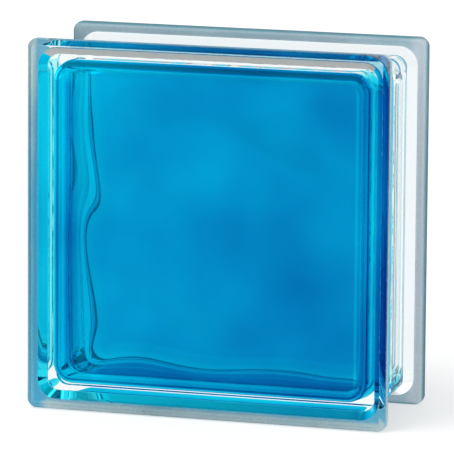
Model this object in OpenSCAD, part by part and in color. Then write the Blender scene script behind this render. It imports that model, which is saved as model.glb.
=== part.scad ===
// Hollow glass building block: two pressed glass halves fused edge to edge into one sealed piece.
// It stands on the rims of its two faces, with its front face towards -Y and its width along X.

/* [Block] */
// Width and height of the square faces
face_w = 190; // [140:1:240]
// Overall depth, from face to face
block_d = 80; // [70:1:100]

/* [Rims] */
// Thickness of the rim round each face at its outer edge, along the depth
rim_t = 8; // [6:0.25:10]
// Radius of the rim's four corners, seen from the front
rim_corner_r = 5; // [4:0.5:8]
// Radius of the edge between a face and its rim
face_edge_r = 2.9; // [1:0.1:3.9]
// Radius of the rim's inner edge, next to the mortar channel
rim_back_r = 1.8; // [0.5:0.1:2.4]

/* [Mortar channel] */
// Depth of the channel below the rims
channel_h = 8.4; // [7:0.1:9.6]
// Corner radius of the channel's floor
channel_corner_r = 6; // [4:0.5:12]
// Width of the flat ledge behind a rim, before its skirt begins
ledge_w = 4.4; // [2.5:0.1:5.5]
// Slope of the skirt that carries a rim on the floor, measured from the plane of the face
skirt_angle = 64; // [45:1:72]
// Radius of the fillet between a skirt and the channel's floor
channel_fillet_r = 2.8; // [1:0.1:6]

/* [Fused seam] */
// Width of the bead where the two halves are fused
seam_w = 6; // [4:0.5:8]
// Height of the bead, outside and inside
seam_h = 0.8; // [0.3:0.1:1.2]

/* [Cavity] */
// Mean thickness of the two panes
pane_t = 8.5; // [7:0.5:12]
// Width of solid glass round the panes, from the edge of a face to the cavity
border_w = 12.4; // [12:0.1:18]
// How much higher than the middle of the block the cavity sits
cavity_rise = 0.6; // [0:0.1:1]
// How much wider the cavity is at the seam, because each half leaves its plunger by a draft
cavity_draft = 3; // [0:0.2:4]
// Corner radius of the cavity, seen from the front
cavity_corner_r = 10; // [9:0.5:14]
// Radius between the side walls and a pane
cavity_fillet_r = 6; // [3:0.5:8]

/* [Waves] */
// Height of the waves pressed into the inner side of each pane, above and below its mean
wave_h = 1.95; // [0:0.05:2.4]
// Length of the main waves
wave_len = 109; // [80:1:140]
// How far the waves wind from side to side, in degrees of their phase
wave_wind = 49; // [0:1:70]
// Width of the border in which the waves fade out
wave_fade = 27; // [12:1:40]

/* [Hidden] */
$fn = 64;

glass_tint = [0.0, 0.49, 0.76, 0.6];
half_d = block_d / 2;
rim_spine = face_w / 2 - rim_corner_r;
channel_spine = face_w / 2 - channel_h - channel_corner_r;
channel_half = half_d - rim_t;
skirt_rise = channel_h - ledge_w;
skirt_run = skirt_rise * tan(skirt_angle);
cavity_half = face_w / 2 - border_w;
front_phase = 0;
rear_phase = 140;
seam_bead_r = (pow(seam_w / 2, 2) + seam_h * seam_h) / (2 * seam_h);

// Steps of the cavity's mesh
corner_steps = 7;
side_steps = 18;
pane_rings = 11;
fillet_steps = 6;
seam_steps = 4;

// What is left of a square corner of side r outside its round of radius r
module corner_waste(r) {
  difference() {
    square(r);
    circle(r);
  }
}

// Section of a rim, outwards along x from the spine and along the depth in y
module rim_section() {
  difference() {
    translate([0, channel_half]) square([rim_corner_r, rim_t]);
    translate([rim_corner_r - face_edge_r, half_d - face_edge_r]) corner_waste(face_edge_r);
    translate([rim_corner_r - rim_back_r, channel_half + rim_back_r])
      mirror([0, 1]) corner_waste(rim_back_r);
  }
}

// Fillet in the hollow angle between the channel's floor and a skirt
module skirt_fillet(foot) {
  reach = channel_fillet_r * tan(45 - skirt_angle / 2);
  centre = [channel_corner_r + channel_fillet_r, foot - reach];
  difference() {
    polygon([
      [channel_corner_r, foot],
      [channel_corner_r, foot - reach],
      centre,
      [channel_corner_r + reach * cos(skirt_angle), foot + reach * sin(skirt_angle)]
    ]);
    translate(centre) circle(channel_fillet_r);
  }
}

// Section of the channel: its floor with the seam bead, and the skirts that rise to the rims
module channel_section() {
  foot = channel_half - skirt_run;
  crest = channel_corner_r + skirt_rise;
  polygon([
    [0, -channel_half], [crest, -channel_half], [channel_corner_r, -foot],
    [channel_corner_r, foot], [crest, channel_half], [0, channel_half]
  ]);
  intersection() {
    translate([channel_corner_r + seam_h - seam_bead_r, 0]) circle(seam_bead_r);
    translate([0, -seam_w / 2]) square([channel_corner_r + seam_h, seam_w]);
  }
  for (end = [0, 1]) mirror([0, end]) skirt_fillet(foot);
}

// Sweeps a section round a square spine: straight along the sides and turned at the corners
module swept_round(spine) {
  for (turn = [0 : 90 : 270]) rotate(turn) {
    translate([spine, 0, 0]) rotate([90, 0, 0]) linear_extrude(2 * spine, center = true) children();
    translate([spine, spine, 0]) rotate_extrude(angle = 90) children();
  }
}

module rim_plate() {
  swept_round(rim_spine) rim_section();
  translate([-rim_spine, -rim_spine, channel_half]) cube([2 * rim_spine, 2 * rim_spine, rim_t]);
}

module channel_web() {
  swept_round(channel_spine) channel_section();
  cube([2 * channel_spine, 2 * channel_spine, 2 * channel_half], center = true);
}

// Points round a rounded square of half width w and corner radius r
function corner_points(w, r) = [
  for (turn = [0 : 90 : 270])
    for (p = concat(
      [for (i = [0 : corner_steps]) let (a = 90 * i / corner_steps) [w - r + r * cos(a), w - r + r * sin(a)]],
      [for (i = [1 : side_steps - 1]) [(w - r) * (1 - 2 * i / side_steps), w]]
    ))
    [p[0] * cos(turn) - p[1] * sin(turn), p[0] * sin(turn) + p[1] * cos(turn)]
];

function smooth(t) = let (c = max(0, min(1, t))) c * c * (3 - 2 * c);

// Height of the waves at a point of a pane: waves up the pane that wind, crossed by waves across it
function wave(x, y, phase) =
  let (
    k = 360 / wave_len,
    edge = cavity_half - cavity_fillet_r,
    fade = smooth((edge - abs(x)) / wave_fade) * smooth((edge - abs(y)) / wave_fade),
    along = k * y + wave_wind * sin(0.92 * k * (x + y) + 146) + 153 + phase,
    cross = 1.39 * k * x + 80 + phase
  )
  wave_h * fade * (0.49 * sin(along) + 0.51 * sin(cross));

// Half width of the cavity at a depth, drawn in where the seam's bead stands inside
function wall_half(z) =
  let (
    drafted = cavity_half + cavity_draft / 2 * (1 - abs(z) / (half_d - pane_t)),
    bead = abs(z) < seam_w / 2 ? seam_h * pow(cos(180 * z / seam_w), 2) : 0
  )
  drafted - bead;

function wall_ring(z) = [for (p = corner_points(wall_half(z), cavity_corner_r)) [p[0], p[1], z]];

function fillet_ring(side, a) =
  let (
    inset = cavity_fillet_r * (1 - cos(a)),
    z = half_d - pane_t - cavity_fillet_r * (1 - sin(a))
  )
  [for (p = corner_points(wall_half(z) - inset, max(cavity_corner_r - inset, 1))) [p[0], p[1], side * z]];

function pane_ring(side, share) =
  let (edge = wall_half(half_d - pane_t) - cavity_fillet_r, r = max(cavity_corner_r - cavity_fillet_r, 1))
  [
    for (p = corner_points(edge, r))
      let (x = share * p[0], y = share * p[1])
      [x, y, side * (half_d - pane_t) - wave(x, y, side > 0 ? front_phase : rear_phase)]
  ];

// The sealed space between the halves, as rings from the middle of one pane to the middle of the other
module cavity() {
  shares = [for (i = [1 : pane_rings]) i / (pane_rings + 0.4)];
  angles = [for (i = [0 : fillet_steps]) 90 * i / fillet_steps];
  seam = [for (i = [-seam_steps : seam_steps]) seam_w / 2 * i / seam_steps];
  rings = concat(
    [for (s = shares) pane_ring(-1, s)],
    [for (i = [fillet_steps : -1 : 0]) fillet_ring(-1, angles[i])],
    [for (z = seam) wall_ring(z)],
    [for (a = angles) fillet_ring(1, a)],
    [for (i = [pane_rings - 1 : -1 : 0]) pane_ring(1, shares[i])]
  );
  n = len(rings[0]);
  last = len(rings) - 1;
  low = [0, 0, pane_t - half_d - wave(0, 0, rear_phase)];
  high = [0, 0, half_d - pane_t - wave(0, 0, front_phase)];
  points = concat([low], [for (ring = rings) each ring], [high]);
  faces = concat(
    [for (i = [0 : n - 1]) [0, 1 + (i + 1) % n, 1 + i]],
    [for (k = [0 : last - 1], i = [0 : n - 1])
      let (a = 1 + k * n + i, b = 1 + k * n + (i + 1) % n) each [[a, b, b + n], [a, b + n, a + n]]],
    [for (i = [0 : n - 1]) [1 + last * n + i, 1 + last * n + (i + 1) % n, len(points) - 1]]
  );
  polyhedron(points, [for (f = faces) [f[2], f[1], f[0]]]);
}

module glass_block() {
  color(glass_tint)
    translate([0, 0, face_w / 2])
      rotate([90, 0, 0])
        difference() {
          union() {
            rim_plate();
            mirror([0, 0, 1]) rim_plate();
            channel_web();
          }
          translate([0, cavity_rise, 0]) cavity();
        }
}

glass_block();
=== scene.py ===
import math

import bpy
import numpy as np
from mathutils import Matrix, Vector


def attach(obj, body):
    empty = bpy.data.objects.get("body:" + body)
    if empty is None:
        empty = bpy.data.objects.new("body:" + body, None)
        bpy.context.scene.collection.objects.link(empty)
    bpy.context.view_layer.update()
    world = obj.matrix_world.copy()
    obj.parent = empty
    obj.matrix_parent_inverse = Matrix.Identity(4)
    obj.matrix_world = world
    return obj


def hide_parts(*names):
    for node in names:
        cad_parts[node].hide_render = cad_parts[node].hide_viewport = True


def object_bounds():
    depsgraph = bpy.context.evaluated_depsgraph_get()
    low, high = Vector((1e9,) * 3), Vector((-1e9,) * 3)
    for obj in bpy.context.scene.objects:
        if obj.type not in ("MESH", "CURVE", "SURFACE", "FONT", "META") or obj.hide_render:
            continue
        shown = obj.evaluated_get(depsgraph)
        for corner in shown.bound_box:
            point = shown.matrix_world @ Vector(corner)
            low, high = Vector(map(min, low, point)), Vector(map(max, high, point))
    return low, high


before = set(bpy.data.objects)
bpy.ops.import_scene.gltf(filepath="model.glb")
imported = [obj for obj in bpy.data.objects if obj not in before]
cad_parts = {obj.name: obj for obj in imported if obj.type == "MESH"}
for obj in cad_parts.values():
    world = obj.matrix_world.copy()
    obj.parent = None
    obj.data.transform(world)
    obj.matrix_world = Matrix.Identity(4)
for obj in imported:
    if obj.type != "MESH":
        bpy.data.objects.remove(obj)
cad_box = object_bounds()


# The block's outside: two flat square faces with rounded rims, and between the rims the mortar channel.
# It is clear soda-lime glass, pressed as two trays and fused rim to rim while hot, which left a bead
# of glass round the middle of the channel.
MM = 0.001
FACE_HALF = (cad_box[1][0] - cad_box[0][0]) / 2
BLOCK_DEPTH = cad_box[1][1] - cad_box[0][1]
RIM_THICK = 8 * MM
RIM_CORNER = 5 * MM
FACE_EDGE = 2.9 * MM
RIM_BACK = 1.8 * MM
LEDGE = 4.4 * MM
LEDGE_ROUND = 0.7 * MM
SKIRT_ANGLE = math.radians(64)
CHANNEL_DEPTH = 8.4 * MM
CHANNEL_CORNER = 6 * MM
CHANNEL_FILLET = 2.8 * MM
SEAM_WIDTH = 6 * MM
SEAM_HEIGHT = 0.8 * MM
BEAD_SWELL = 0.3
BEAD_STRAY = 0.5 * MM
MIXED_WAVES = 14
CORNER_STEPS = 14
SIDE_STEPS = 84
ARC_STEPS = 8
SEAM_STEPS = 17
EASE = 0.15 * MM
LEAST_RADIUS = 1 * MM

corner_turn = np.linspace(0, math.pi / 2, CORNER_STEPS + 1)
along_side = np.arange(1, SIDE_STEPS) / SIDE_STEPS
facing = np.concatenate([corner_turn, np.full(SIDE_STEPS - 1, math.pi / 2)])
spine_x = np.concatenate([np.ones(CORNER_STEPS + 1), 1 - 2 * along_side])
spine_z = np.ones(len(facing))
spine = np.concatenate([
    np.stack([spine_x, spine_z], axis=1), np.stack([-spine_z, spine_x], axis=1),
    np.stack([-spine_x, -spine_z], axis=1), np.stack([spine_z, -spine_x], axis=1),
])
facing = np.concatenate([facing + quarter * math.pi / 2 for quarter in range(4)])
outward = np.stack([np.cos(facing), np.sin(facing)], axis=1)
RING_SIZE = len(facing)
lap = np.arange(RING_SIZE) * 2 * math.pi / RING_SIZE


def wander(seed, slowest, fastest):
    """A smooth irregular line once round the block, about -1 to 1, from a few mixed waves."""
    chance = np.random.default_rng(seed)
    line = np.zeros(RING_SIZE)
    for turns in range(slowest, fastest, max(1, (fastest - slowest) // MIXED_WAVES)):
        line += np.sin(turns * lap + chance.uniform(0, 2 * math.pi)) * chance.uniform(0.5, 1)
    return line / np.abs(line).max()


def ring(half, radius, depth, swell=0.0):
    """A rounded square of points at a depth behind the front face, swollen outwards where asked."""
    reach = np.broadcast_to(radius + swell, RING_SIZE)
    flat = (half - radius) * spine + reach[:, None] * outward
    place = np.broadcast_to(depth - BLOCK_DEPTH / 2, RING_SIZE)
    return np.stack([flat[:, 0], place, flat[:, 1] + FACE_HALF], axis=1)


def rounded_line(corners):
    """Straight runs joined by arcs, with points beside each arc; a corner is a place and a radius."""
    line = [corners[0][0]]
    for (before, _), (place, radius), (after, _) in zip(corners, corners[1:], corners[2:]):
        before, place, after = (np.array(v, dtype=float) for v in (before, place, after))
        back = (before - place) / np.linalg.norm(before - place)
        on = (after - place) / np.linalg.norm(after - place)
        half_angle = math.acos(float(np.clip(back @ on, -1, 1))) / 2
        reach = radius / math.tan(half_angle)
        middle = place + (back + on) / np.linalg.norm(back + on) * radius / math.sin(half_angle)
        start = place + back * reach - middle
        side = np.sign(start[0] * on[1] - start[1] * on[0])
        line.append(tuple(place + back * (reach + EASE)))
        for share in np.linspace(0, 1, ARC_STEPS + 1):
            a = side * (math.pi - 2 * half_angle) * share
            line.append((
                middle[0] + start[0] * math.cos(a) - start[1] * math.sin(a),
                middle[1] + start[0] * math.sin(a) + start[1] * math.cos(a),
            ))
        line.append(tuple(place + on * (reach + EASE)))
    line.append(corners[-1][0])
    return line


bead_swell = wander(seed=3, slowest=3, fastest=70)
bead_stray = wander(seed=5, slowest=2, fastest=24)


def bead(share):
    """How high the bead stands and how far it strays, at a share of its half width from the middle."""
    height = SEAM_HEIGHT * math.cos(share * math.pi / 2) ** 2 * (1 + BEAD_SWELL * bead_swell)
    stray = BEAD_STRAY * bead_stray * (1 - share * share)
    return height, stray


floor_half = FACE_HALF - CHANNEL_DEPTH
skirt_spine = floor_half - CHANNEL_CORNER
skirt_foot = RIM_THICK + (CHANNEL_DEPTH - LEDGE) * math.tan(SKIRT_ANGLE)
rim_line = rounded_line([
    ((FACE_HALF - 2 * FACE_EDGE, 0.0), 0),
    ((FACE_HALF, 0.0), FACE_EDGE),
    ((FACE_HALF, RIM_THICK), RIM_BACK),
    ((FACE_HALF - RIM_BACK - 2 * EASE, RIM_THICK), 0),
])
skirt_line = rounded_line([
    ((FACE_HALF - RIM_BACK - 3 * EASE, RIM_THICK), 0),
    ((FACE_HALF - LEDGE, RIM_THICK), LEDGE_ROUND),
    ((floor_half, skirt_foot), CHANNEL_FILLET),
    ((floor_half, BLOCK_DEPTH / 2 - SEAM_WIDTH / 2 - EASE), 0),
])
skirt_line.append((floor_half, BLOCK_DEPTH / 2 - SEAM_WIDTH / 2))
front_skin = []
for half, depth in rim_line:
    front_skin.append((half, max(RIM_CORNER - (FACE_HALF - half), LEAST_RADIUS), depth))
for half, depth in skirt_line[1:]:
    front_skin.append((half, half - skirt_spine, depth))
skin_rings = [ring(*section) for section in front_skin]
for share in np.linspace(-1, 1, SEAM_STEPS)[1:-1]:
    height, stray = bead(share)
    depth = BLOCK_DEPTH / 2 + share * SEAM_WIDTH / 2 + stray
    skin_rings.append(ring(floor_half, CHANNEL_CORNER, depth, height))
for half, radius, depth in reversed(front_skin):
    skin_rings.append(ring(half, radius, BLOCK_DEPTH - depth))


# The sealed hollow inside: four walls that widen a little towards the seam, because each half left its
# plunger by a draft, and two panes whose inner sides carry the wave figure cut into the plunger. A blue
# lacquer lies on them in coats of different thickness.
PANE_THICK = 8.5 * MM
CAVITY_RISE = 0.6 * MM
BORDER = 12.4 * MM
CAVITY_HALF = FACE_HALF - BORDER
CAVITY_DRAFT = 1.5 * MM
CAVITY_CORNER = 10 * MM
CAVITY_FILLET = 6 * MM
WAVE_HEIGHT = 1.95 * MM
WAVE_LENGTH = 109 * MM
WAVE_START = math.radians(153)
WAVE_SHARE = 0.49
WAVE_FADE = 27 * MM
WAVE_WIND = math.radians(49)
WIND_PITCH = 0.92
WIND_START = math.radians(146)
CROSS_PITCH = 1.39
CROSS_START = math.radians(80)
CROSS_SHARE = 0.51
FRONT_PHASE = 0.0
REAR_PHASE = math.radians(140)
PANE_RINGS = 48
PANE_MIDDLE = 0.02

# Coats of lacquer down the right, top, left and bottom walls: depth in mm and number of coats
WALL_COATS = (
    (
        (8.5, 1.5), (8.62, 0.8), (8.96, 1.6), (11, 1.9), (15.2, 1.9), (20, 0.95), (37, 0.95), (43, 0),
        (66, 0), (70.5, 0.8),
    ),
    (
        (8.5, 1.5), (9.6, 1.3), (11, 1.7), (14.5, 2.0), (15.2, 1.8), (20, 1.8), (21.5, 0),
        (66, 0), (70.5, 0.9),
    ),
    (
        (8.5, 1.5), (9.5, 1.2), (10.3, 2.4), (11.2, 0.65), (20, 0.65), (21.5, 0.12), (37, 0.12), (40, 0.9),
        (42, 0.15), (65.5, 0.15), (66.7, 1.8), (67.8, 0.5), (71.5, 0.9),
    ),
    (
        (8.5, 1.5), (9.5, 1.4), (10.3, 2.4), (11.2, 0.6), (20, 0.6), (21.5, 0.12), (37, 0.12), (40, 1.4),
        (43, 1.0), (65.5, 0.8), (66.7, 1.5), (67.8, 0.2), (71.5, 0.7),
    ),
)
FRONT_PANE_COAT = 1.5
MARGIN_COAT = 1.3
MARGIN_FROM = 0.88
MARGIN_WIDTH = 0.08
REAR_PANE_COAT = 0.9
COAT_EDGES = [15.2 * MM, 20 * MM, 21.5 * MM]

side_share = np.stack([
    np.maximum(outward[:, 0], 0) ** 2, np.maximum(outward[:, 1], 0) ** 2,
    np.maximum(-outward[:, 0], 0) ** 2, np.maximum(-outward[:, 1], 0) ** 2,
], axis=1)


def smooth(t):
    """Rises from 0 to 1 with level ends."""
    c = np.clip(t, 0, 1)
    return c * c * (3 - 2 * c)


def wave(x, z, phase):
    """Height of the waves at a point of a pane, measured from the middle of the pane."""
    k = 2 * math.pi / WAVE_LENGTH
    edge = CAVITY_HALF - CAVITY_FILLET
    fade = smooth((edge - np.abs(x)) / WAVE_FADE) * smooth((edge - np.abs(z)) / WAVE_FADE)
    along = k * z + WAVE_WIND * np.sin(WIND_PITCH * k * (x + z) + WIND_START) + WAVE_START + phase
    cross = CROSS_PITCH * k * x + CROSS_START + phase
    return WAVE_HEIGHT * fade * (WAVE_SHARE * np.sin(along) + CROSS_SHARE * np.sin(cross))


def wall_half(depth):
    """Half the width of the hollow at a depth."""
    away = abs(depth - BLOCK_DEPTH / 2)
    return CAVITY_HALF + CAVITY_DRAFT * (1 - away / (BLOCK_DEPTH / 2 - PANE_THICK))


def pane_ring(share, depth, phase):
    """A ring of points on a pane, at a share of the way from its middle to its edge."""
    points = ring(CAVITY_HALF - CAVITY_FILLET, CAVITY_CORNER - CAVITY_FILLET, depth)
    x = points[:, 0] * share
    z = (points[:, 2] - FACE_HALF) * share
    return np.stack([x, points[:, 1] + wave(x, z, phase), z + FACE_HALF], axis=1)


def fillet_ring(depth, a):
    """A ring of points on the bend between the walls and a pane."""
    inset = CAVITY_FILLET * (1 - math.cos(a))
    return ring(wall_half(depth) - inset, max(CAVITY_CORNER - inset, LEAST_RADIUS), depth)


def laid(depth):
    """Coats of lacquer round the walls at a depth."""
    return side_share @ np.array([np.interp(depth / MM, *zip(*wall)) for wall in WALL_COATS])


cavity_rings = []
coats = []
for share in np.linspace(PANE_MIDDLE, 1, PANE_RINGS)[:-1]:
    cavity_rings.append(pane_ring(share, PANE_THICK, FRONT_PHASE))
    margin = smooth((share - MARGIN_FROM) / MARGIN_WIDTH) * side_share[:, 2]
    coats.append(FRONT_PANE_COAT + MARGIN_COAT * margin)
bends = np.linspace(0, math.pi / 2, ARC_STEPS + 1)
for a in bends[::-1]:
    depth = PANE_THICK + CAVITY_FILLET * (1 - math.sin(a))
    cavity_rings.append(fillet_ring(depth, a))
    coats.append(laid(depth))
wall_from = PANE_THICK + CAVITY_FILLET
seam_from = BLOCK_DEPTH / 2 - SEAM_WIDTH / 2
wall_places = [wall_from + EASE, wall_from + 2 * EASE] + COAT_EDGES + [seam_from - EASE]
wall_places += list(np.linspace(seam_from, BLOCK_DEPTH - seam_from, SEAM_STEPS))
wall_places += [BLOCK_DEPTH - seam_from + EASE, BLOCK_DEPTH - wall_from - EASE]
for place in wall_places:
    height, stray = bead(min(abs(place - BLOCK_DEPTH / 2) / (SEAM_WIDTH / 2), 1))
    cavity_rings.append(ring(wall_half(place), CAVITY_CORNER, place + stray, -height))
    coats.append(laid(place))
for a in bends:
    depth = BLOCK_DEPTH - PANE_THICK - CAVITY_FILLET * (1 - math.sin(a))
    cavity_rings.append(fillet_ring(depth, a))
    coats.append(laid(depth))
for share in np.linspace(1, PANE_MIDDLE, PANE_RINGS)[1:]:
    cavity_rings.append(pane_ring(share, BLOCK_DEPTH - PANE_THICK, REAR_PHASE))
    coats.append(np.full(RING_SIZE, REAR_PANE_COAT))
for points in cavity_rings:
    points[:, 2] += CAVITY_RISE


def skin_between(first, count, facing_out):
    """Quads between neighbouring rings, and a flat polygon at each end."""
    faces = []
    for row in range(count - 1):
        for i in range(RING_SIZE):
            a = first + row * RING_SIZE + i
            b = first + row * RING_SIZE + (i + 1) % RING_SIZE
            faces.append((a, a + RING_SIZE, b + RING_SIZE, b))
    faces.append(tuple(first + i for i in range(RING_SIZE)))
    faces.append(tuple(first + (count - 1) * RING_SIZE + i for i in reversed(range(RING_SIZE))))
    if facing_out:
        return faces
    return [tuple(reversed(face)) for face in faces]


points = np.concatenate(skin_rings + cavity_rings)
skin_faces = skin_between(0, len(skin_rings), True)
cavity_faces = skin_between(len(skin_rings) * RING_SIZE, len(cavity_rings), False)
mesh = bpy.data.meshes.new("fused_glass_block")
mesh.from_pydata(points.tolist(), [], skin_faces + cavity_faces)
mesh.polygons.foreach_set("use_smooth", [True] * (len(skin_faces) + len(cavity_faces)))
block = bpy.data.objects.new("fused_glass_block", mesh)
bpy.context.collection.objects.link(block)
coat_layer = mesh.attributes.new("coat", "FLOAT", "POINT")
coat_layer.data.foreach_set("value", np.concatenate([np.zeros(len(skin_rings) * RING_SIZE)] + coats))


# The glass is clear soda-lime with a faint green cast that varies a little with its mixing, and pressing
# left its skin very slightly uneven.
class Wire:
    """A socket of a node tree, with arithmetic that adds Math nodes."""

    def __init__(self, tree, socket=None):
        self.tree = tree
        self.socket = socket

    def node(self, kind, settings=None, sockets=None, output=0):
        """Adds a node: its settings first, then its sockets, each a value or a wire."""
        made = self.tree.nodes.new(kind)
        for name, value in (settings or {}).items():
            setattr(made, name, value)
        for name, value in (sockets or {}).items():
            if isinstance(value, Wire):
                self.tree.links.new(value.socket, made.inputs[name])
            else:
                made.inputs[name].default_value = value
        if not made.outputs:
            return None
        return Wire(self.tree, made.outputs[output])

    def maths(self, operation, first, second):
        """Adds a Math node."""
        return self.node("ShaderNodeMath", {"operation": operation}, {0: first, 1: second})

    def __add__(self, other):
        return self.maths("ADD", self, other)

    def __radd__(self, other):
        return self.maths("ADD", other, self)

    def __sub__(self, other):
        return self.maths("SUBTRACT", self, other)

    def __rsub__(self, other):
        return self.maths("SUBTRACT", other, self)

    def __mul__(self, other):
        return self.maths("MULTIPLY", self, other)

    def __rmul__(self, other):
        return self.maths("MULTIPLY", other, self)

    def __pow__(self, other):
        return self.maths("POWER", self, other)

    def __rpow__(self, other):
        return self.maths("POWER", other, self)


def empty_tree(owner):
    """Clears the nodes of a material or world, and gives a wire to start from."""
    owner.use_nodes = True
    owner.node_tree.nodes.clear()
    return Wire(owner.node_tree)


GLASS_IOR = 1.52
MIXING_SCALE = 40.0
GREEN_CAST = (0.95, 0.985, 0.975, 1)
PALE_CAST = (0.97, 0.985, 0.985, 1)
UNEVENNESS = 0.03 * MM
clear = bpy.data.materials.new("clear_glass")
tree = empty_tree(clear)
place = tree.node("ShaderNodeTexCoord", {}, {}, "Object")
mixing = tree.node("ShaderNodeTexNoise", {}, {"Vector": place, "Scale": MIXING_SCALE, "Detail": 2.0}, "Fac")
cast = tree.node("ShaderNodeMix", {"data_type": "RGBA"}, {0: mixing, 6: GREEN_CAST, 7: PALE_CAST}, 2)
uneven = tree.node("ShaderNodeBump", {}, {
    "Height": mixing, "Strength": 0.3, "Distance": UNEVENNESS}, "Normal")
body = tree.node("ShaderNodeBsdfPrincipled", {}, {
    "Base Color": cast,
    "Roughness": 0.0,
    "IOR": GLASS_IOR,
    "Transmission Weight": 1.0,
    "Normal": uneven,
})
tree.node("ShaderNodeOutputMaterial", {}, {"Surface": body})


# The lacquer is a clear blue coat, sprayed into the two halves before they were joined. It lies on the
# inner skin in soft clouds, thickest on the front pane and in the bends beside it. Its colour also deepens
# towards the right and the bottom of the block, which is partly thicker lacquer and partly painted shade.
LIGHT_PASS = (0.012, 0.72, 0.895, 1)
DEEP_PASS = (0.012, 0.475, 0.73, 1)
AIR_SIDE_PASSES = 2.0
MIRROR_PASSES = 1.4
CLOUD_SCALE = 14.0
CLOUD_LAYER = 3.0
CLOUD_MEAN = 0.45
COAT_AND_SHADE_ACROSS = 2.4
COAT_AND_SHADE_DOWN = 1.4
CLOUD_SOFT = 2.2
lacquer = bpy.data.materials.new("blue_lacquer")
tree = empty_tree(lacquer)
coat = tree.node("ShaderNodeAttribute", {"attribute_name": "coat"}, {}, "Fac")
place = tree.node("ShaderNodeTexCoord", {}, {}, "Object")
soft = tree.node("ShaderNodeTexNoise", {"noise_dimensions": "4D"}, {
    "Vector": place, "W": CLOUD_LAYER, "Scale": CLOUD_SCALE, "Detail": 2.0, "Roughness": 0.45}, "Fac")
across, up = (tree.node("ShaderNodeSeparateXYZ", {}, {0: place}, axis) for axis in "XZ")
# Deeper towards the right and the bottom is thicker lacquer and painted shade together; the noise makes the
# soft clouds.
cloud_and_shade = CLOUD_MEAN + across * COAT_AND_SHADE_ACROSS - (up - FACE_HALF) * COAT_AND_SHADE_DOWN + (soft - 0.5) * CLOUD_SOFT
cloud_and_shade = tree.node("ShaderNodeClamp", {}, {0: cloud_and_shade})
shade = tree.node("ShaderNodeMix", {"data_type": "RGBA"}, {0: cloud_and_shade, 6: LIGHT_PASS, 7: DEEP_PASS}, 2)


def tint(passes):
    """The colour left after a number of passes through one coat."""
    parts = [
        tree.node("ShaderNodeSeparateColor", {}, {0: shade}, name) ** passes
        for name in ("Red", "Green", "Blue")
    ]
    return tree.node("ShaderNodeCombineColor", {}, dict(enumerate(parts)))


air_side = tree.node("ShaderNodeBsdfPrincipled", {}, {
    "Base Color": tint(coat * AIR_SIDE_PASSES),
    "Roughness": 0.0,
    "IOR": GLASS_IOR,
    "Transmission Weight": 1.0,
})
bent = tree.node("ShaderNodeBsdfRefraction", {}, {"Color": tint(coat), "Roughness": 0.0, "IOR": GLASS_IOR})
there_and_back = tint(coat * MIRROR_PASSES)
mirror = tree.node("ShaderNodeBsdfAnisotropic", {}, {"Color": there_and_back, "Roughness": 0.0})
fresnel = tree.node("ShaderNodeFresnel", {}, {"IOR": GLASS_IOR})
glass_side = tree.node("ShaderNodeMixShader", {}, {0: fresnel, 1: bent, 2: mirror})
behind = tree.node("ShaderNodeNewGeometry", {}, {}, "Backfacing")
both = tree.node("ShaderNodeMixShader", {}, {0: behind, 1: air_side, 2: glass_side})
tree.node("ShaderNodeOutputMaterial", {}, {"Surface": both})


# The edges of both rims are frosted to key the mortar: the sides all round, the ledges behind the rear rim,
# and the front rim's ledges at the left and below. Their blue is a painted glow: it stands for the blue
# light that the frosting scatters from the lacquered inside. There is less of it at the right end, which is
# painted paler where the low fill falls. The skirt behind the top edge of the front face is matt too, in a
# warmer grey.
GRAIN_SCALE = 900.0
GRAIN_DEPTH = 0.06 * MM
PATCH_SCALE = 30.0
PATCH_SHARE = 0.6
SPECKLE = 0.3
SMOOTHEST = 0.4
ROUGH_SHARE = 0.2
SIDE_FADE = 1.2 * MM
INNER_FROM = 2.6 * MM
END_FROM = FACE_HALF - 10 * MM
END_FULL = FACE_HALF - 5 * MM
LOW_FROM = 2 * FACE_HALF - 20 * MM
LOW_FULL = FACE_HALF + 15 * MM
# Amounts of the painted blue glow on the frost.
SIDE_BLUE = 0.7
INNER_BLUE = 0.8
LEFT_BLUE = 0.9
REAR_BLUE = 0.4
SKIRT_CHANGE = 2.0


def matt_glass(name, pale, blue, open_share, second_share):
    """Ground glass that glows with the light inside: pale, turning to the second colour where asked, and
    fine pits; on the rims that blue is a painted glow.
    """
    made = bpy.data.materials.new(name)
    tree = empty_tree(made)
    place = tree.node("ShaderNodeTexCoord", {}, {}, "Object")
    grain = tree.node("ShaderNodeTexNoise", {}, {
        "Vector": place, "Scale": GRAIN_SCALE, "Detail": 2.0}, "Fac")
    patch = tree.node("ShaderNodeTexNoise", {}, {
        "Vector": place, "Scale": PATCH_SCALE, "Detail": 3.0}, "Fac")
    share = tree.node("ShaderNodeClamp", {}, {0: second_share(tree, place) + (patch - 0.5) * PATCH_SHARE})
    colour = tree.node("ShaderNodeMix", {"data_type": "RGBA"}, {0: share, 6: pale, 7: blue}, 2)
    brightness = 1 - SPECKLE / 2 + grain * SPECKLE
    speckled = tree.node("ShaderNodeHueSaturation", {}, {"Color": colour, "Value": brightness})
    pitted = tree.node("ShaderNodeBump", {}, {
        "Height": grain, "Strength": 0.5, "Distance": GRAIN_DEPTH}, "Normal")
    body = tree.node("ShaderNodeBsdfPrincipled", {}, {
        "Base Color": speckled,
        "Roughness": SMOOTHEST + patch * ROUGH_SHARE,
        "IOR": GLASS_IOR,
        "Normal": pitted,
    })
    through = tree.node("ShaderNodeBsdfTranslucent", {}, {"Color": speckled, "Normal": pitted})
    both = tree.node("ShaderNodeMixShader", {}, {0: open_share, 1: body, 2: through})
    tree.node("ShaderNodeOutputMaterial", {}, {"Surface": both})
    return made


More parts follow.
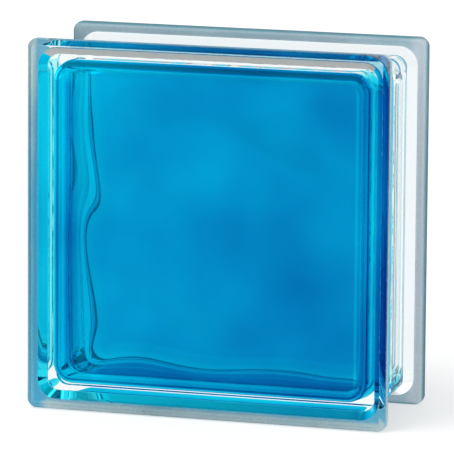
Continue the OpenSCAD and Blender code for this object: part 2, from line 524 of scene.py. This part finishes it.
def rim_places(tree, place):
    """How far in from the block's edge a spot is, and masks of the rims' sides and of the right end, which
    the frost paints paler as lit.
    """
    across, up = (tree.node("ShaderNodeSeparateXYZ", {}, {0: place}, axis) for axis in "XZ")
    sideways = tree.maths("ABSOLUTE", across, 0)
    upwards = tree.maths("ABSOLUTE", up - FACE_HALF, 0)
    from_edge = FACE_HALF - tree.maths("MAXIMUM", sideways, upwards)
    side = tree.node("ShaderNodeMapRange", {}, {0: from_edge, 1: SIDE_FADE, 2: 0.0})
    lit_right_end = tree.node("ShaderNodeMapRange", {}, {0: across, 1: END_FROM, 2: END_FULL})
    return from_edge, side, lit_right_end


def front_painted_glow(tree, place):
    """Painted blue glow at the inner edge of the ledges, along the sides except at the right end, and low
    on the left.
    """
    from_edge, side, lit_right_end = rim_places(tree, place)
    across, up = (tree.node("ShaderNodeSeparateXYZ", {}, {0: place}, axis) for axis in "XZ")
    inner = tree.node("ShaderNodeMapRange", {}, {0: from_edge, 1: INNER_FROM, 2: LEDGE})
    at_left = tree.node("ShaderNodeMapRange", {}, {0: across, 1: -END_FROM, 2: -END_FULL})
    low_down = tree.node("ShaderNodeMapRange", {}, {0: up, 1: LOW_FROM, 2: LOW_FULL})
    return side * (1 - lit_right_end) * SIDE_BLUE + inner * INNER_BLUE + at_left * low_down * LEFT_BLUE


def rear_painted_glow(tree, place):
    """Painted blue glow along the sides, and less than half as much everywhere but at the right end,
    painted paler where the low fill falls.
    """
    _, side, lit_right_end = rim_places(tree, place)
    return side + (1 - lit_right_end) * REAR_BLUE


def skirt_second_grey(tree, place):
    """A little of the second grey, and more of it towards the left."""
    return tree.node("ShaderNodeSeparateXYZ", {}, {0: place}, "X") * -SKIRT_CHANGE


# The blue colours of the two rims' frost are a painted glow of the lacquer's light, not a colour of the
# glass.
front_frost = matt_glass("front_frost", (0.82, 0.98, 1.0, 1), (0.14, 0.66, 0.95, 1), 0.6, front_painted_glow)
rear_frost = matt_glass("rear_frost", (0.6, 0.68, 0.74, 1), (0.17, 0.4, 0.48, 1), 0.5, rear_painted_glow)
matt_skirt = matt_glass("matt_skirt", (0.56, 0.57, 0.55, 1), (0.51, 0.56, 0.555, 1), 0.85, skirt_second_grey)

CLEAR, LACQUERED, FRONT_FROSTED, REAR_FROSTED, MATT = range(5)
HAIR = 0.01 * MM
LEDGE_LAP = 0.3 * MM
SIDE_FACING = 0.95
CORNER_FACING = 0.3
TOP_FACING = 0.72
for finish in (clear, lacquer, front_frost, rear_frost, matt_skirt):
    mesh.materials.append(finish)
slots = np.full((len(skin_rings) - 1, RING_SIZE), CLEAR)
right_or_top = (outward.max(axis=1) > SIDE_FACING) | (outward.min(axis=1) > CORNER_FACING)
top = outward[:, 1] > TOP_FACING
for row, (section, following) in enumerate(zip(front_skin, front_skin[1:])):
    half = (section[0] + following[0]) / 2
    depth = (section[2] + following[2]) / 2
    if depth > FACE_EDGE and half > FACE_HALF - LEDGE - LEDGE_LAP:
        on_side = half > FACE_HALF - HAIR
        slots[row] = np.where(right_or_top & (not on_side), CLEAR, FRONT_FROSTED)
        slots[-1 - row] = REAR_FROSTED
    elif depth > FACE_EDGE and half > floor_half + HAIR:
        slots[row] = np.where(top, MATT, CLEAR)
slots = np.concatenate([slots.ravel(), [CLEAR, CLEAR], np.full(len(cavity_faces), LACQUERED)])
mesh.polygons.foreach_set("material_index", slots)
mesh.update()

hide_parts("glass_block")
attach(block, "root")


# The floor: a white paper sheet that the block stands on and casts its shadow on. Through the glass it is
# plain white, and what the glass mirrors of it in front of the block is dark, as in a dark room.
FLOOR_HALF = 3.0
FLOOR_DROP = 0.2 * MM
DIM_FROM = 50 * MM
DIM_FULL = -50 * MM
FLOOR_GREY = (0.55, 0.55, 0.55, 1)
ROOM_GREY = (0.02, 0.02, 0.02, 1)
WHITE = (1, 1, 1, 1)
FLOOR_GLOW = 0.55
BACK_LIGHT = 1.05


def kinds_of_ray(tree):
    """Masks of what the camera sees, what is seen through glass, and what is mirrored or seen through."""
    names = ("Is Camera Ray", "Is Transmission Ray", "Is Glossy Ray")
    return [tree.node("ShaderNodeLightPath", {}, {}, name) for name in names]


floor_mesh = bpy.data.meshes.new("floor")
floor_mesh.from_pydata([
    (-FLOOR_HALF, -FLOOR_HALF, 0), (FLOOR_HALF, -FLOOR_HALF, 0), (FLOOR_HALF, FLOOR_HALF, 0),
    (-FLOOR_HALF, FLOOR_HALF, 0),
], [], [(0, 1, 2, 3)])
floor = bpy.data.objects.new("floor", floor_mesh)
floor.location.z = -FLOOR_DROP
bpy.context.collection.objects.link(floor)
paper = bpy.data.materials.new("floor_paper")
tree = empty_tree(paper)
camera_ray, through_ray, glossy_ray = kinds_of_ray(tree)
spot = tree.node("ShaderNodeNewGeometry", {}, {}, "Position")
back = tree.node("ShaderNodeSeparateXYZ", {}, {0: spot}, "Y")
in_front = tree.node("ShaderNodeMapRange", {}, {0: back, 1: DIM_FROM, 2: DIM_FULL})
matt = tree.node("ShaderNodeBsdfDiffuse", {}, {"Color": FLOOR_GREY})
dim = tree.node("ShaderNodeBsdfDiffuse", {}, {"Color": ROOM_GREY})
glow = FLOOR_GLOW * camera_ray + BACK_LIGHT * through_ray
shine = tree.node("ShaderNodeEmission", {}, {"Color": WHITE, "Strength": glow})
mirrored = glossy_ray * (1 - through_ray) * in_front
lit = tree.node("ShaderNodeMixShader", {}, {0: mirrored, 1: matt, 2: dim})
lit = tree.node("ShaderNodeMixShader", {}, {0: through_ray, 1: lit})
both = tree.node("ShaderNodeAddShader", {}, {0: lit, 1: shine})
tree.node("ShaderNodeOutputMaterial", {}, {"Surface": both})
floor_mesh.materials.append(paper)


# The light: a white surround behind and beside the block, greyer overhead, one soft lamp above, and a low
# fill from the front right that only matt surfaces show.
DIFFUSE_LEVEL = 0.5
FRONT_LEVEL = 0.02
SKY_LEVEL = 0.55
LEFT_GAIN = 0.8
ROOM_LOSS = 0.9
OVERHEAD = (0.45, 0.8)
LEFTWARD = (-0.35, -0.85)
BEHIND = (0.75, 0.93)
FORWARD = (-0.1, -0.5)
world = bpy.data.worlds.new("studio")
bpy.context.scene.world = world
tree = empty_tree(world)
camera_ray, through_ray, glossy_ray = kinds_of_ray(tree)
way = tree.node("ShaderNodeTexCoord", {}, {}, "Generated")
across, back, steep = (tree.node("ShaderNodeSeparateXYZ", {}, {0: way}, axis) for axis in "XYZ")


def gentle(value, limits):
    """Rises from 0 to 1 between two limits of a wire's value, with level ends."""
    return tree.node("ShaderNodeMapRange", {"interpolation_type": "SMOOTHSTEP"}, {
        0: value, 1: limits[0], 2: limits[1]})


overhead = gentle(steep, OVERHEAD)
leftward = gentle(across, LEFTWARD)
behind = gentle(back, BEHIND)
room = gentle(back, FORWARD)
surround = BACK_LIGHT + LEFT_GAIN * leftward
surround = surround + overhead * (SKY_LEVEL - surround)
surround = surround * (1 - room * ROOM_LOSS)
mirrored = FRONT_LEVEL + behind * (1 - FRONT_LEVEL)
unseen = 1 - tree.maths("MAXIMUM", camera_ray, through_ray)
level = camera_ray + through_ray * surround
level = level + unseen * (glossy_ray * mirrored + (1 - glossy_ray) * DIFFUSE_LEVEL)
sky = tree.node("ShaderNodeBackground", {}, {"Color": WHITE, "Strength": level})
tree.node("ShaderNodeOutputWorld", {}, {"Surface": sky})


def far_lamp(name, level, spread, turn):
    """A lamp far away that doesn't shine through the glass: its level, and its angles in degrees."""
    light = bpy.data.lights.new(name, "SUN")
    light.energy = level * math.pi
    light.angle = math.radians(spread)
    lamp = bpy.data.objects.new(name, light)
    bpy.context.collection.objects.link(lamp)
    lamp.rotation_euler = [math.radians(angle) for angle in turn]
    lamp.visible_transmission = False
    return lamp


far_lamp("soft_key", level=0.5, spread=50, turn=(25, -20, 0))
low_fill = far_lamp("low_fill", level=0.75, spread=6, turn=(87, 0, 32))
low_fill.visible_glossy = False


# The camera looks down a little on the block from its right front corner, from about two and a half metres
# through a long lens, so that upright edges stay nearly parallel.
FOCAL_PIXELS = 5000
PICTURE_PIXELS = 454
CAMERA_PLACE = (0.7476, -2.3947, 0.5256)
CAMERA_ROUND = 0.3028
CAMERA_DOWN = 0.1709
CAMERA_LEAN = 0.0072
camera_data = bpy.data.cameras.new("camera")
camera = bpy.data.objects.new("camera", camera_data)
bpy.context.collection.objects.link(camera)
camera_data.sensor_width = 36
camera_data.lens = FOCAL_PIXELS / PICTURE_PIXELS * camera_data.sensor_width
camera_data.clip_end = 20
turn = Matrix.Rotation(CAMERA_ROUND, 4, "Z") @ Matrix.Rotation(math.pi / 2 - CAMERA_DOWN, 4, "X")
turn = turn @ Matrix.Rotation(CAMERA_LEAN, 4, "Z")
camera.matrix_world = Matrix.Translation(CAMERA_PLACE) @ turn
scene = bpy.context.scene
scene.camera = camera
scene.view_settings.view_transform = "Standard"
scene.cycles.max_bounces = 32
scene.cycles.transmission_bounces = 24
scene.cycles.glossy_bounces = 24
scene.cycles.transparent_max_bounces = 24
scene.cycles.use_denoising = True
